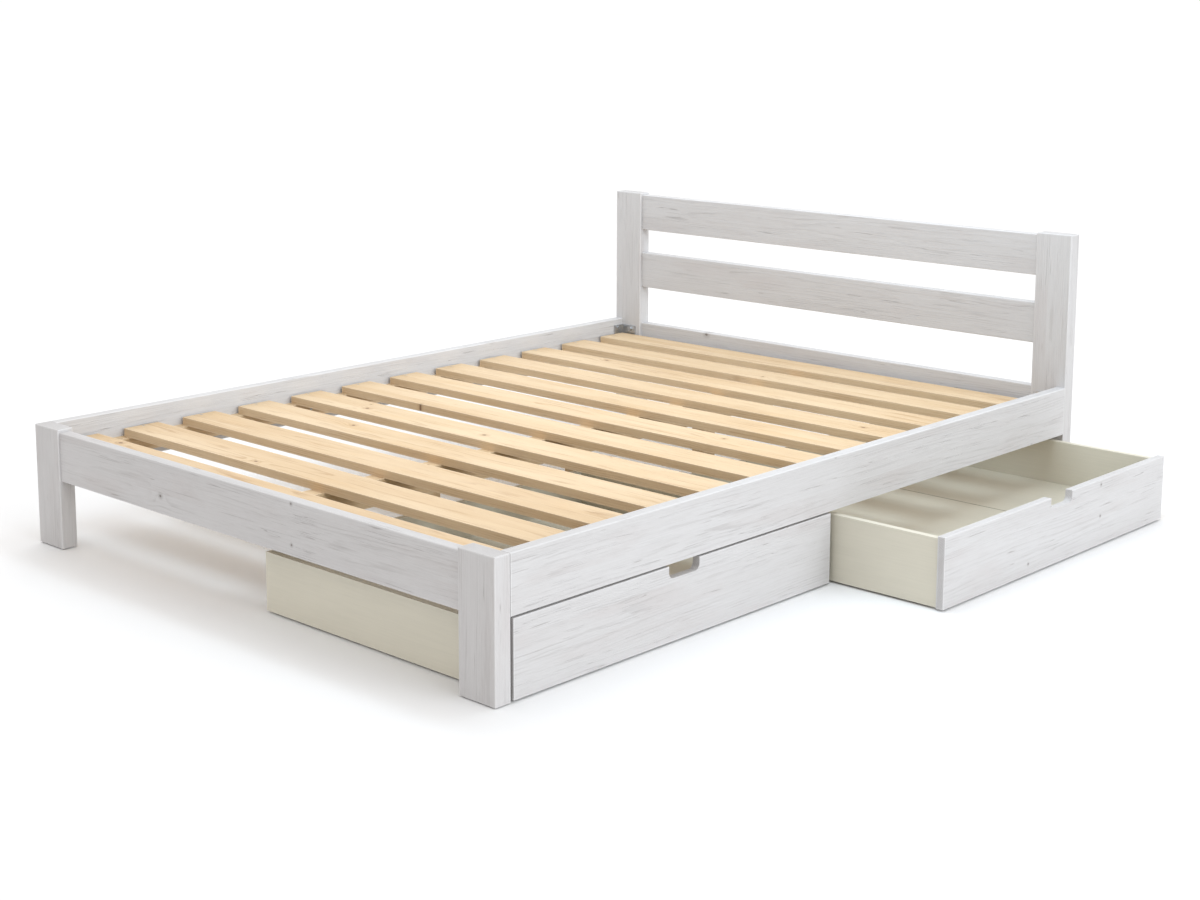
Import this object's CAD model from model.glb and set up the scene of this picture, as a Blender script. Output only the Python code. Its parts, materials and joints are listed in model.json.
import json
import math
import random

import bpy
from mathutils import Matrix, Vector


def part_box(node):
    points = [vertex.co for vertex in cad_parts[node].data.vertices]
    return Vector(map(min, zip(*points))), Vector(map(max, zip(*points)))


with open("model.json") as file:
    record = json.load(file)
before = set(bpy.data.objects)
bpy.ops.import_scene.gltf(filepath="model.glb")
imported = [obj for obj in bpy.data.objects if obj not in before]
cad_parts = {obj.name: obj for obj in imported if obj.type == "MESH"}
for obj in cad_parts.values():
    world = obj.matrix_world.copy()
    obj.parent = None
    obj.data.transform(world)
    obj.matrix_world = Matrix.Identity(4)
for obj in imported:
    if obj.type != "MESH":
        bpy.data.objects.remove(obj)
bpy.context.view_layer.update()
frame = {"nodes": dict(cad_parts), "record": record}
nodes = frame["nodes"]

# ---------- linear colours, and how strongly each feature of a material shows ----------

WHITEWASH = {
    "light": (0.540, 0.531, 0.530), "mid": (0.512, 0.500, 0.497), "dark": (0.22, 0.20, 0.19),
    "thin": (0.484, 0.457, 0.450), "knot": (0.14, 0.12, 0.105), "edge": (0.62, 0.614, 0.612),
    "rings": 0.20, "cracks": 0.50, "fibres": 0.10, "roughness": 0.58, "knots": 0.10,
}
PINE = {
    "light": (0.66, 0.51, 0.33), "mid": (0.58, 0.42, 0.25), "dark": (0.36, 0.21, 0.10),
    "thin": (0.60, 0.42, 0.23), "knot": (0.14, 0.065, 0.03), "edge": (0.70, 0.56, 0.39),
    "rings": 0.50, "cracks": 0.14, "fibres": 0.22, "roughness": 0.60, "knots": 0.40,
}
BEECH = {
    "light": (0.60, 0.43, 0.26), "mid": (0.53, 0.36, 0.20), "dark": (0.34, 0.20, 0.10),
    "thin": (0.54, 0.36, 0.20), "knot": (0.30, 0.18, 0.10), "edge": (0.64, 0.46, 0.29),
    "rings": 0.15, "cracks": 0.35, "fibres": 0.25, "roughness": 0.60, "knots": 0.0,
}
CREAM = (0.615, 0.584, 0.487)
CREAM_SHADE = tuple(0.93 * c for c in CREAM)
CREAM_EDGE = (0.72, 0.69, 0.60)
RAW_EDGE = (0.20, 0.18, 0.14)          # cut edges of the bottom panels, seen only at their joint
ZINC, ZINC_SHADE = (0.60, 0.61, 0.62), (0.44, 0.45, 0.47)
PLASTIC = (0.035, 0.035, 0.038)
RUBBER = (0.018, 0.018, 0.018)
FLOOR = (0.80, 0.80, 0.80, 1.0)
SKY = (1.0, 0.982, 0.972, 1.0)
SKY_STRENGTH = 1.035
WOOD_SPECULAR = 0.35
PLASTIC_ROUGHNESS, RUBBER_ROUGHNESS, FLOOR_ROUGHNESS = 0.42, 0.72, 0.9

# ---------- sizes in metres ----------

BOARD_SHIFT = (0.0, 40.0)              # how far along the endless grain a board is cut
STRIP_WIDTH = 0.055                    # one glued strip of a board
STRIP_START = -10.0 - 0.4 * STRIP_WIDTH    # the edge of strip 0, from a board's middle
STRIP_SHIFT = 0.37                     # how far across the grain the next strip is cut
RING_PITCH = 0.0042                    # from one growth ring to the next
PITH_DEPTH = (0.035, 0.07)             # how far a board's pith lies from its middle
PITH_SPREAD = 0.03                     # how far to either side a strip's pith lies
RING_DRIFT, RING_WAVER, RING_SWELL = 0.035, 0.005, 0.010
CRACK_SWAY = 0.003                     # how far to either side a crack wanders
KNOT_CELL = (0.42, 0.13)               # along and across the board, for one possible knot
KNOT_RADIUS = (0.0018, 0.0063)
KNOT_SQUEEZE = 0.8                     # shortens distances along the grain, so knots are long
KNOT_CORE, KNOT_HALO = 0.55, 3.2       # in radii: where the core starts to fade, the halo's end
KNOT_SWELL = 0.018                     # how far from a knot the rings bend round it
PIN_CORE, PIN_HALO = (0.0012, 0.0032), (0.0028, 0.0080)    # from full to none, round a pin knot
WORN_REACH = 0.0045                    # paler wood along a board's edges
BAND_REACH = 0.0022                    # a foil-faced panel's edge band
WELD_REACH = 0.00002                   # corners closer than this are one corner

# How far a board's rounded edges reach, by material slot
ROUNDING = {"whitewashed_pine": 0.0008, "plain_pine": 0.0008, "cream_board": 0.0005}

# How high the bumps of each material stand
WOOD_RELIEF, FOIL_RELIEF, ZINC_RELIEF, MOULD_RELIEF = 0.0004, 0.00012, 0.00004, 0.0001

# Pin knots at known places, along the board's longest and its second direction
PIN_KNOTS = {
    "foot_rail": [(0.185, 0.280), (0.184, 0.192)],
    "head_drawer_front": [(0.678, 0.154), (0.680, 0.076), (0.351, 0.030)],
}

# ---------- angles in degrees ----------

FLAT_ANGLE = 1                         # triangles that meet under it become one face
SHARP_ANGLE = 35                       # edges above it are rounded
BOARD_SMOOTH_ANGLE = 60                # edges under it are shaded smooth
HARDWARE_SMOOTH_ANGLE = 32

# ---------- noises: cycles per metre in three directions, detail, roughness ----------

NOISES = {                             # on boards, the first direction is the longest
    "ring drift": ((1.1, 6.0, 6.0), 2.0, 0.5),
    "ring waver": ((5.0, 60.0, 60.0), 3.0, 0.6),
    "crack sway": ((4.0, 18.0, 18.0), 2.0, 0.5),
    "crack sheets": ((1.4, 75.0, 75.0), 2.0, 0.55),
    "crack gate": ((9.0, 90.0, 90.0), 2.0, 0.5),
    "fine cracks": ((8.0, 420.0, 420.0), 2.0, 0.6),
    "breaks": ((5.0, 50.0, 50.0), 3.0, 0.6),
    "patches": ((1.8, 14.0, 14.0), 3.0, 0.5),
    "thin paint": ((2.6, 9.0, 9.0), 4.0, 0.6),
    "fibres": ((6.0, 500.0, 500.0), 3.0, 0.6),
    "pores": ((40.0, 1500.0, 1500.0), 1.0, 0.5),
    "printed fibres": ((9.0, 260.0, 260.0), 3.0, 0.55),
    "mottle": ((6.0, 9.0, 9.0), 2.0, 0.5),
    "grit": ((1400.0, 1400.0, 1400.0), 1.0, 0.5),
    "zinc bloom": ((35.0, 35.0, 35.0), 4.0, 0.6),
    "rolling marks": ((30.0, 30.0, 1500.0), 2.0, 0.5),
    "dust": ((60.0, 60.0, 60.0), 4.0, 0.65),
    "plastic grain": ((1800.0, 1800.0, 1800.0), 2.0, 0.5),
    "rubber grain": ((900.0, 900.0, 900.0), 2.0, 0.5),
}
ZINC_CRYSTALS = 260.0                  # per metre

# Where a soft step over a noise starts and ends
STEPS = {
    "crack gate": (0.52, 0.64), "fine cracks": (0.60, 0.72), "breaks": (0.42, 0.66),
    "patches": (0.36, 0.66), "thin paint": (0.5, 0.72), "fibres": (0.42, 0.72),
    "pores": (0.45, 0.8), "dust": (0.45, 0.8),
}
CRACK_EDGE = (0.002, 0.010)            # from the crack noise's middle value
LATE_START, LATE_END = (0.45, 0.85), (0.88, 0.98)    # of late wood, within one ring
CUT_END = (0.6, 0.9)                   # how squarely a face looks along the board


# ---------- node tree helper ----------

class Tree:
    """A material's node tree, with short calls for the nodes this scene uses."""

    def __init__(self, name):
        self.material = bpy.data.materials.new(name)
        self.material.use_nodes = True
        self.tree = self.material.node_tree
        self.shader = self.tree.nodes["Principled BSDF"]

    def put(self, socket, value):
        if isinstance(value, bpy.types.NodeSocket):
            self.tree.links.new(value, socket)
        elif value is not None:
            socket.default_value = value

    def node(self, kind, **settings):
        made = self.tree.nodes.new(kind)
        for key, value in settings.items():
            setattr(made, key, value)
        return made

    def fed(self, made, *values):
        """Puts the values into a node's first sockets and gives its first output."""
        for socket, value in zip(made.inputs, values):
            self.put(socket, value)
        return made.outputs[0]

    def math(self, operation, *values):
        return self.fed(self.node("ShaderNodeMath", operation=operation), *values)

    def times(self, a, b):
        return self.math("MULTIPLY", a, b)

    def rest_of(self, value):
        """What is left of 1."""
        return self.math("SUBTRACT", 1.0, value)

    def length_of(self, x, y):
        return self.math("SQRT", self.math("ADD", self.times(x, x), self.times(y, y)))

    def combine(self, x, y, z):
        return self.fed(self.node("ShaderNodeCombineXYZ"), x, y, z)

    def split(self, vector):
        made = self.node("ShaderNodeSeparateXYZ")
        self.put(made.inputs[0], vector)
        return made.outputs

    def scaled(self, vector, factors):
        return self.fed(self.node("ShaderNodeVectorMath", operation="MULTIPLY"), vector, factors)

    def place(self):
        """The shaded point in the part's frame, in metres."""
        return self.node("ShaderNodeTexCoord").outputs["Object"]

    def noise(self, vector, name):
        cycles, detail, roughness = NOISES[name]
        made = self.node("ShaderNodeTexNoise")
        self.put(made.inputs["Vector"], self.scaled(vector, cycles))
        made.inputs["Scale"].default_value = 1.0
        made.inputs["Detail"].default_value = detail
        made.inputs["Roughness"].default_value = roughness
        return made.outputs["Fac"]

    def ramp(self, value, low, high):
        """A soft step from 0 at low to 1 at high."""
        made = self.node("ShaderNodeMapRange", interpolation_type="SMOOTHSTEP")
        return self.fed(made, value, low, high, 0.0, 1.0)

    def stepped(self, vector, name):
        """The named noise after its soft step."""
        return self.ramp(self.noise(vector, name), *STEPS[name])

    def mix(self, factor, a, b):
        made = self.node("ShaderNodeMix", data_type="RGBA")
        self.put(made.inputs[0], factor)
        for socket, value in zip((made.inputs[6], made.inputs[7]), (a, b)):
            self.put(socket, (*value, 1.0) if isinstance(value, tuple) else value)
        return made.outputs[2]

    def bump(self, height, distance):
        made = self.node("ShaderNodeBump")
        made.inputs["Strength"].default_value = 1.0
        made.inputs["Distance"].default_value = distance
        self.put(made.inputs["Height"], height)
        return made.outputs["Normal"]

    def surface(self, color, roughness, normal=None):
        self.put(self.shader.inputs["Base Color"], color)
        self.put(self.shader.inputs["Roughness"], roughness)
        self.put(self.shader.inputs["Normal"], normal)
        return self.material


class Board:
    """A CAD node's box, its directions sorted from the longest to the thinnest, and a seed."""

    def __init__(self, name):
        self.name = name
        self.low, self.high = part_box(name)
        size = self.high - self.low
        self.order = sorted(range(3), key=lambda i: -size[i])
        self.middle = (self.low + self.high) / 2
        self.chance = random.Random(name)


def edge_nearness(t, board, reach):
    """1 on the board's edges, falling to 0 at reach from them."""
    near = []
    for place, low, high in zip(t.split(t.place()), board.low, board.high):
        near.append(t.math("MINIMUM", t.math("SUBTRACT", place, low), t.math("SUBTRACT", high, place)))
    a, b, c = near
    smaller, larger = t.math("MINIMUM", a, b), t.math("MAXIMUM", a, b)
    middle = t.math("MAXIMUM", smaller, t.math("MINIMUM", larger, c))
    return t.rest_of(t.ramp(middle, 0.0, reach))


# ---------- wood ----------

def scattered_knots(t, u, v, share):
    """Core, dark ring and grain swell of the knots that this share of the board's cells have."""
    cell_u, cell_v = KNOT_CELL
    plane = t.combine(t.math("DIVIDE", u, cell_u), t.math("DIVIDE", v, cell_v), 0.0)
    cells = t.node("ShaderNodeTexVoronoi", voronoi_dimensions="2D")
    t.put(cells.inputs["Vector"], plane)
    cells.inputs["Scale"].default_value = 1.0
    away = t.fed(t.node("ShaderNodeVectorMath", operation="SUBTRACT"), plane, cells.outputs["Position"])
    length = t.node("ShaderNodeVectorMath", operation="LENGTH")
    t.put(length.inputs[0], t.scaled(away, (cell_u * KNOT_SQUEEZE, cell_v, 0.0)))
    far = length.outputs["Value"]
    pick = t.node("ShaderNodeSeparateColor")
    t.put(pick.inputs[0], cells.outputs["Color"])
    here = t.math("LESS_THAN", pick.outputs[0], share)
    smallest, largest = KNOT_RADIUS
    radius = t.math("MULTIPLY_ADD", pick.outputs[1], largest - smallest, smallest)
    core = t.rest_of(t.ramp(far, t.times(radius, KNOT_CORE), radius))
    halo = t.rest_of(t.ramp(far, radius, t.times(radius, KNOT_HALO)))
    swell = t.math("EXPONENT", t.math("DIVIDE", far, -KNOT_SWELL))
    return [t.times(here, part) for part in (core, halo, swell)]


def pin_knot(t, u, v, at):
    """The dark core and the faint ring round one small knot."""
    far = t.length_of(t.math("SUBTRACT", u, at[0]), t.math("SUBTRACT", v, at[1]))
    return t.rest_of(t.ramp(far, *PIN_CORE)), t.rest_of(t.ramp(far, *PIN_HALO))


def growth_rings(t, spot, v, w, strip_tone, swell, pith_depth):
    """Thin late-wood lines round a pith that lies behind the board's face."""
    across = t.math("SUBTRACT", v, t.math("MULTIPLY_ADD", strip_tone, 2 * PITH_SPREAD, -PITH_SPREAD))
    radius = t.length_of(across, t.math("ADD", w, pith_depth))
    drift, waver = t.noise(spot, "ring drift"), t.noise(spot, "ring waver")
    for wave, size in ((drift, RING_DRIFT), (waver, RING_WAVER), (swell, RING_SWELL)):
        radius = t.math("MULTIPLY_ADD", wave, size, radius)
    ring = t.math("FRACT", t.math("DIVIDE", radius, RING_PITCH))
    return t.times(t.ramp(ring, *LATE_START), t.rest_of(t.ramp(ring, *LATE_END)))


def open_grain(t, spot, breaks):
    """Thin dark cracks along the grain: where a stretched, wavy noise crosses its middle value."""
    sway = t.math("MULTIPLY_ADD", t.noise(spot, "crack sway"), 2 * CRACK_SWAY, -CRACK_SWAY)
    x, y, z = t.split(spot)
    wavy = t.combine(x, t.math("ADD", y, sway), t.math("ADD", z, sway))
    from_middle = t.math("ABSOLUTE", t.math("SUBTRACT", t.noise(wavy, "crack sheets"), 0.5))
    crack = t.times(t.rest_of(t.ramp(from_middle, *CRACK_EDGE)), t.stepped(spot, "crack gate"))
    fine_share = t.math("MULTIPLY_ADD", breaks, 0.35, 0.12)
    return t.math("MAXIMUM", crack, t.times(t.stepped(wavy, "fine cracks"), fine_share))


def cut_ends(t, along):
    """1 on the faces that cut across the board's longest direction, 0 on the others."""
    facing = t.split(t.node("ShaderNodeTexCoord").outputs["Normal"])[along]
    return t.ramp(t.math("ABSOLUTE", facing), *CUT_END)


class Grain:
    """What varies over a board, mostly from 0 to 1: strips, rings, cracks, knots and fibres."""

    def __init__(self, t, board, knot_share):
        place = t.split(t.place())
        along, wide, thin = board.order
        shift = board.chance.uniform(*BOARD_SHIFT)
        u = t.math("ADD", place[along], shift)
        v = t.math("SUBTRACT", place[wide], board.middle[wide])
        w = t.math("SUBTRACT", place[thin], board.middle[thin])

        from_start = t.math("SUBTRACT", v, STRIP_START)
        strip = t.math("FLOOR", t.math("DIVIDE", from_start, STRIP_WIDTH))
        strip_noise = t.node("ShaderNodeTexWhiteNoise", noise_dimensions="2D")
        t.put(strip_noise.inputs["Vector"], t.combine(strip, shift, 0.0))
        self.strip_tone = strip_noise.outputs["Value"]
        spot = t.combine(u, t.math("MULTIPLY_ADD", strip, STRIP_SHIFT, v), w)

        self.core, self.halo, swell = scattered_knots(t, u, t.math("ADD", v, shift), knot_share)
        for at in PIN_KNOTS.get(board.name, []):
            core, halo = pin_knot(t, place[along], place[wide], at)
            self.core = t.math("MAXIMUM", self.core, core)
            self.halo = t.math("MAXIMUM", self.halo, halo)
        pith_depth = board.chance.uniform(*PITH_DEPTH)
        self.late = growth_rings(t, spot, v, w, self.strip_tone, swell, pith_depth)
        breaks = t.stepped(spot, "breaks")
        self.ends = cut_ends(t, along)
        self.broken_late = t.times(self.late, t.math("MAXIMUM", breaks, self.ends))
        self.cracks = t.times(open_grain(t, spot, breaks), t.rest_of(self.ends))
        self.patch = t.stepped(spot, "patches")
        self.thin = t.stepped(spot, "thin paint")
        self.fibre = t.noise(spot, "fibres")
        self.pores = t.stepped(spot, "pores")


def wood_color(t, grain, palette, worn):
    """The ground colour, with each feature laid over it in turn."""
    tone = t.math("MULTIPLY_ADD", grain.strip_tone, 0.5, t.times(grain.patch, 0.5))
    color = t.mix(tone, palette["light"], palette["mid"])
    layers = [
        (grain.thin, 0.6, "thin"),
        (grain.broken_late, palette["rings"], "dark"),
        (grain.cracks, palette["cracks"], "dark"),
        (t.ramp(grain.fibre, *STEPS["fibres"]), palette["fibres"], "dark"),
        (grain.pores, 0.10, "dark"),
        (grain.ends, 0.12, "dark"),
        (grain.halo, 0.35, "dark"),
        (grain.core, 0.8, "knot"),
        (worn, 0.6, "edge"),
    ]
    for amount, strength, name in layers:
        color = t.mix(t.times(amount, strength), color, palette[name])
    return color


def wood_height(t, grain):
    """Raised fibres and late wood, sunk cracks and knots."""
    raised = t.math("MULTIPLY_ADD", grain.fibre, 0.4, t.times(grain.late, 0.35))
    raised = t.math("MULTIPLY_ADD", grain.pores, 0.15, raised)
    sunk = t.math("MULTIPLY_ADD", grain.cracks, 0.8, t.times(grain.core, 0.6))
    return t.math("SUBTRACT", raised, sunk)


def wood(board, palette):
    """Brushed board of glued strips."""
    t = Tree("wood_" + board.name)
    grain = Grain(t, board, palette["knots"])
    color = wood_color(t, grain, palette, edge_nearness(t, board, WORN_REACH))
    roughness = t.math("MULTIPLY_ADD", grain.patch, 0.10, palette["roughness"])
    t.shader.inputs["Specular IOR Level"].default_value = WOOD_SPECULAR
    return t.surface(color, roughness, t.bump(wood_height(t, grain), WOOD_RELIEF))


# ---------- other materials ----------

def foil_board(board, edge):
    """Cream foil-faced board: faint printed fibres, a soft mottle and an edge of its own colour."""
    t = Tree("foil_" + board.name)
    place = t.split(t.place())
    spot = t.combine(*(place[i] for i in board.order))
    fibre, mottle = t.noise(spot, "printed fibres"), t.noise(spot, "mottle")
    shade = t.math("MULTIPLY_ADD", fibre, 0.55, t.times(mottle, 0.35))
    color = t.mix(t.ramp(shade, 0.25, 0.75), CREAM, CREAM_SHADE)
    color = t.mix(t.times(edge_nearness(t, board, BAND_REACH), 0.7), color, edge)
    height = t.math("MULTIPLY_ADD", t.noise(spot, "grit"), 0.4, fibre)
    roughness = t.math("MULTIPLY_ADD", mottle, 0.12, 0.42)
    return t.surface(color, roughness, t.bump(height, FOIL_RELIEF))


def zinc(name):
    """Zinc-plated steel: fine crystals, a faint bloom and rolling marks."""
    t = Tree(name)
    spot = t.place()
    cells = t.node("ShaderNodeTexVoronoi")
    t.put(cells.inputs["Vector"], spot)
    cells.inputs["Scale"].default_value = ZINC_CRYSTALS
    bloom = t.noise(spot, "zinc bloom")
    crystal = t.math("MULTIPLY_ADD", cells.outputs["Distance"], 0.3, t.times(bloom, 0.7))
    color = t.mix(t.ramp(crystal, 0.2, 0.8), ZINC, ZINC_SHADE)
    roughness = t.math("MULTIPLY_ADD", bloom, 0.25, 0.24)
    t.shader.inputs["Metallic"].default_value = 1.0
    return t.surface(color, roughness, t.bump(t.noise(spot, "rolling marks"), ZINC_RELIEF))


def moulded(name, color, roughness, grain):
    """Moulded plastic or rubber: fine spark-eroded grain and a little dust."""
    t = Tree(name)
    spot = t.place()
    dust = t.stepped(spot, "dust")
    dusty = tuple(3.0 * c + 0.03 for c in color)
    shade = t.mix(t.times(dust, 0.35), color, dusty)
    dull = t.math("MULTIPLY_ADD", dust, 0.2, roughness)
    return t.surface(shade, dull, t.bump(t.noise(spot, grain), MOULD_RELIEF))


# ---------- finishes and softened edges on the CAD nodes ----------

def smooth_group(name, degrees):
    """Geometry nodes that shade smooth across every edge flatter than the given angle."""
    group = bpy.data.node_groups.new(name, "GeometryNodeTree")
    for direction in ("INPUT", "OUTPUT"):
        group.interface.new_socket("Geometry", in_out=direction, socket_type="NodeSocketGeometry")
    start, end = (group.nodes.new(kind) for kind in ("NodeGroupInput", "NodeGroupOutput"))
    angle = group.nodes.new("GeometryNodeInputMeshEdgeAngle")
    flatter = group.nodes.new("FunctionNodeCompare")
    flatter.data_type, flatter.operation = "FLOAT", "LESS_THAN"
    flatter.inputs[1].default_value = math.radians(degrees)
    faces, edges = (group.nodes.new("GeometryNodeSetShadeSmooth") for _ in range(2))
    faces.domain, edges.domain = "FACE", "EDGE"
    link = group.links.new
    link(angle.outputs[0], flatter.inputs[0])
    link(flatter.outputs[0], edges.inputs["Shade Smooth"])
    link(start.outputs[0], faces.inputs["Geometry"])
    link(faces.outputs[0], edges.inputs["Geometry"])
    link(edges.outputs[0], end.inputs[0])
    return group


def join_faces(piece):
    """Joins the doubled corners, then the triangles of each flat face."""
    weld = piece.modifiers.new("weld", "WELD")
    weld.merge_threshold = WELD_REACH
    flat = piece.modifiers.new("flat", "DECIMATE")
    flat.decimate_type = "DISSOLVE"
    flat.angle_limit = math.radians(FLAT_ANGLE)


def soften(piece, width):
    """Rounds a node's sharp edges a little, as sanding does."""
    bevel = piece.modifiers.new("bevel", "BEVEL")
    bevel.width = width
    bevel.segments = 2
    bevel.limit_method = "ANGLE"
    bevel.angle_limit = math.radians(SHARP_ANGLE)
    bevel.use_clamp_overlap = True


def shade_smooth(piece, group):
    """Shades curved faces smooth and keeps flat faces flat."""
    smooth = piece.modifiers.new("smooth", "NODES")
    smooth.node_group = group
    even = piece.modifiers.new("even_normals", "WEIGHTED_NORMAL")
    even.mode = "FACE_AREA"
    even.weight = 100
    even.keep_sharp = True


WOODS = {"whitewashed_pine": WHITEWASH, "plain_pine": PINE, "beech_dowel": BEECH}
HARDWARE = {
    "zinc_steel": zinc("zinc_steel"),
    "black_plastic": moulded("black_plastic", PLASTIC, PLASTIC_ROUGHNESS, "plastic grain"),
    "black_rubber": moulded("black_rubber", RUBBER, RUBBER_ROUGHNESS, "rubber grain"),
}


def finish_of(name, slot):
    """The material of a CAD node: its own for a board, a shared one for hardware."""
    if slot in WOODS:
        return wood(Board(name), WOODS[slot])
    if slot == "cream_board":
        return foil_board(Board(name), RAW_EDGE if "_floor_" in name else CREAM_EDGE)
    return HARDWARE[slot]


board_smooth = smooth_group("board_smooth", BOARD_SMOOTH_ANGLE)
hardware_smooth = smooth_group("hardware_smooth", HARDWARE_SMOOTH_ANGLE)
slots = {part["node"]: part["material_slot"] for part in frame["record"]["subparts"]}

for name in sorted(nodes):
    piece, slot = nodes[name], slots[name]
    finish = finish_of(name, slot)
    for material_slot in piece.material_slots:
        material_slot.material = finish
    join_faces(piece)
    if slot in ROUNDING:
        soften(piece, ROUNDING[slot])
        shade_smooth(piece, board_smooth)
    else:
        shade_smooth(piece, hardware_smooth)

# ---------- camera ----------

CAMERA_AZIMUTH = 43.69                 # degrees from +Y towards -X
CAMERA_ELEVATION = 9.475               # degrees above the horizon

camera_data = bpy.data.cameras.new("camera")
camera_data.sensor_width = 36.0        # mm
camera_data.lens = 57.48               # mm
camera_data.shift_x = 0.0276
camera_data.shift_y = -0.1205
camera = bpy.data.objects.new("camera", camera_data)
camera.location = (3.2289, -3.4173, 1.3295)
camera.rotation_euler = (math.radians(90 - CAMERA_ELEVATION), 0.0, math.radians(CAMERA_AZIMUTH))
bpy.context.scene.collection.objects.link(camera)
bpy.context.scene.camera = camera

# ---------- floor and light ----------

FLOOR_HALF = 60.0
floor_mesh = bpy.data.meshes.new("floor")
corners = [(x * FLOOR_HALF, y * FLOOR_HALF, 0.0) for x, y in ((-1, -1), (1, -1), (1, 1), (-1, 1))]
floor_mesh.from_pydata(corners, [], [(0, 1, 2, 3)])
floor_mesh.materials.append(Tree("floor_pale").surface(FLOOR, FLOOR_ROUGHNESS))
floor = bpy.data.objects.new("floor", floor_mesh)
bpy.context.scene.collection.objects.link(floor)

world = bpy.data.worlds.new("studio")
world.use_nodes = True
background = world.node_tree.nodes["Background"]
background.inputs["Color"].default_value = SKY
background.inputs["Strength"].default_value = SKY_STRENGTH
bpy.context.scene.world = world
bpy.context.scene.view_settings.view_transform = "Standard"


def add_light(name, kind, energy, color):
    data = bpy.data.lights.new(name, kind)
    data.energy = energy
    data.color = color
    light = bpy.data.objects.new(name, data)
    bpy.context.scene.collection.objects.link(light)
    return light


def soft_sun(name, azimuth, elevation, spread, strength, color):
    """Wide distant light, angles in degrees; azimuth counts from +X towards +Y."""
    light = add_light(name, "SUN", strength, color)
    light.data.angle = math.radians(spread)
    light.rotation_euler = (0.0, math.radians(90.0 - elevation), math.radians(azimuth))


def soft_panel(name, place, aim, width, height, power, color):
    """Rectangular light panel that the camera doesn't see, in metres and watts."""
    light = add_light(name, "AREA", power, color)
    light.data.shape = "RECTANGLE"
    light.data.size, light.data.size_y = width, height
    light.location = place
    light.visible_camera = False
    light.rotation_euler = (Vector(aim) - Vector(place)).to_track_quat("-Z", "Y").to_euler()


soft_sun("key", 6.0, 20.0, 42.0, 1.48, (0.89, 0.955, 1.01))
soft_sun("back_fill", 140.0, 38.0, 60.0, 0.60, (1.0, 0.99, 0.97))
soft_panel("over_bed", (0.5, -0.1, 2.3), (0.3, 1.6, 0.5), 1.8, 1.0, 32.0, (0.76, 0.91, 1.04))
